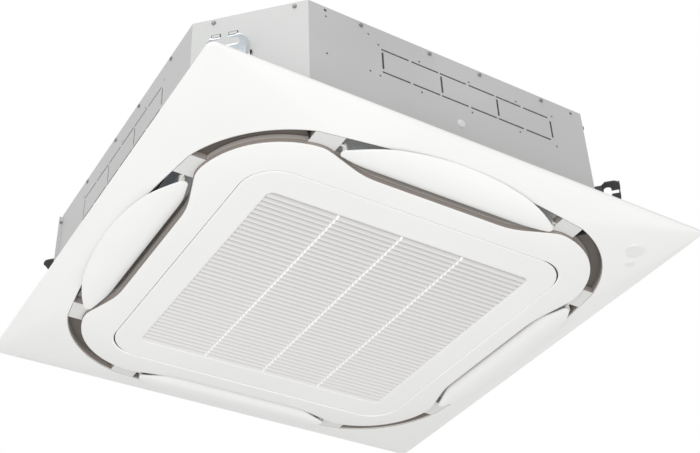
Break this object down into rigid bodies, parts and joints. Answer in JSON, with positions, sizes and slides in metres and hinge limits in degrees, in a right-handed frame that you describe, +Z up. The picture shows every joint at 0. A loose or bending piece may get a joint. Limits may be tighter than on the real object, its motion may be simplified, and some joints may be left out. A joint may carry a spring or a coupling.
{
  "type": "ceiling cassette air conditioner",
  "caption": "Four-way ceiling cassette indoor unit: steel body with hanger brackets, white panel with swinging air flaps, hinged intake grille, filter, fan, coil and drain.",
  "frame": {"origin": "centre of the rectangle of the four hanger slots, at the lower face of the hanger brackets", "axes": "+Z up towards the structural ceiling, -Z towards the room; X along the grille slats; the pipes leave towards +X and the grille hinges at the +Y side"},
  "size_m": [0.95, 0.95, 0.2756],
  "materials": {
    "galvanised_steel": "spangled zinc coating, dull",
    "zinc_plated_steel": "bright zinc plating",
    "bright_steel": "ground",
    "motor_enamel": "satin",
    "black_rubber": "matt",
    "fan_plastic": "moulded, matt",
    "aluminium_fins": "thin fin stock, bright edges",
    "copper": "drawn copper tube",
    "brass": "machined",
    "grey_foam": "closed-cell foam",
    "white_foam": "beaded foam",
    "black_foam": "open-cell foam strip",
    "white_plastic": "fine satin grain",
    "pale_grey_plastic": "fine satin grain",
    "black_plastic": "moulded, matt",
    "green_board": "solder-mask green",
    "filter_net": "fine woven net",
    "clouded_plastic": "clouded, half clear",
    "dark_lens": "smooth window"
  },
  "bodies": {
    "unit": {"bell_mouth": "black_plastic", "bracket_screws": "zinc_plated_steel", "casing_screws": "zinc_plated_steel", "casing_shell": "galvanised_steel", "centre_frame": "white_plastic", "circuit_board": "green_board", "coil_bends": "copper", "coil_end_plates": "galvanised_steel", "coil_fins": "aluminium_fins", "control_box": "galvanised_steel", "control_cover": "galvanised_steel", "drain_pan": "white_foam", "drain_pump": "black_plastic", "drain_socket": "white_plastic", "fan_motor": "motor_enamel", "flap_motor_back": "zinc_plated_steel", "flap_motor_front": "zinc_plated_steel", "flap_motor_left": "zinc_plated_steel", "flap_motor_right": "zinc_plated_steel", "float_switch": "white_plastic", "foam_liner": "grey_foam", "gas_flare_nut": "brass", "gas_pipe": "copper", "hanger_bracket_back_left": "zinc_plated_steel", "hanger_bracket_back_right": "zinc_plated_steel", "hanger_bracket_front_left": "zinc_plated_steel", "hanger_bracket_front_right": "zinc_plated_steel", "hinge_cover_back_a": "pale_grey_plastic", "hinge_cover_back_b": "pale_grey_plastic", "hinge_cover_front_a": "pale_grey_plastic", "hinge_cover_front_b": "pale_grey_plastic", "hinge_cover_left_a": "pale_grey_plastic", "hinge_cover_left_b": "pale_grey_plastic", "hinge_cover_right_a": "pale_grey_plastic", "hinge_cover_right_b": "pale_grey_plastic", "liquid_flare_nut": "brass", "liquid_pipe": "copper", "motor_mounts": "black_rubber", "panel_frame": "white_plastic", "panel_gasket": "black_foam", "panel_screws": "zinc_plated_steel", "pipe_plate": "galvanised_steel", "receiver_dome": "clouded_plastic", "receiver_lens": "dark_lens", "top_insulation": "grey_foam", "top_plate": "galvanised_steel", "touch_latch_left": "black_plastic", "touch_latch_right": "black_plastic"},
    "fan": {"turbo_fan": "fan_plastic", "fan_nut": "zinc_plated_steel", "motor_shaft": "bright_steel"},
    "grille": {"suction_grille": "white_plastic"},
    "filter": {"filter_frame": "black_plastic", "filter_mesh": "filter_net"},
    "flap_front": {"flap_front": "white_plastic"},
    "flap_right": {"flap_right": "white_plastic"},
    "flap_back": {"flap_back": "white_plastic"},
    "flap_left": {"flap_left": "white_plastic"},
    "plunger_left": {"latch_plunger_left": "white_plastic"},
    "plunger_right": {"latch_plunger_right": "white_plastic"}
  },
  "joints": [
    {"name": "fan_spin", "type": "hinge", "parent": "unit", "child": "fan", "pos_m": [0, 0, 0.04], "axis": [0, 0, 1], "continuous": true},
    {"name": "grille_open", "type": "hinge", "parent": "unit", "child": "grille", "pos_m": [0, 0.295, -0.1682], "axis": [1, 0, 0], "range_deg": [0, 40]},
    {"name": "filter_lift", "type": "slide", "parent": "grille", "child": "filter", "axis": [0, 0, 1], "range_m": [0, 0.008]},
    {"name": "flap_front_swing", "type": "hinge", "parent": "unit", "child": "flap_front", "pos_m": [0, -0.39, -0.157], "axis": [1, 0, 0], "range_deg": [0, 45]},
    {"name": "flap_right_swing", "type": "hinge", "parent": "unit", "child": "flap_right", "pos_m": [0.39, 0, -0.157], "axis": [0, 1, 0], "range_deg": [0, 45]},
    {"name": "flap_back_swing", "type": "hinge", "parent": "unit", "child": "flap_back", "pos_m": [0, 0.39, -0.157], "axis": [-1, 0, 0], "range_deg": [0, 45]},
    {"name": "flap_left_swing", "type": "hinge", "parent": "unit", "child": "flap_left", "pos_m": [-0.39, 0, -0.157], "axis": [0, -1, 0], "range_deg": [0, 45]},
    {"name": "latch_push_left", "type": "slide", "parent": "unit", "child": "plunger_left", "axis": [0, 0, 1], "range_m": [0, 0.004], "stiffness_N_per_m": 400, "springref_m": -0.002},
    {"name": "latch_push_right", "type": "slide", "parent": "unit", "child": "plunger_right", "axis": [0, 0, 1], "range_m": [0, 0.004], "stiffness_N_per_m": 400, "springref_m": -0.002}
  ]
}
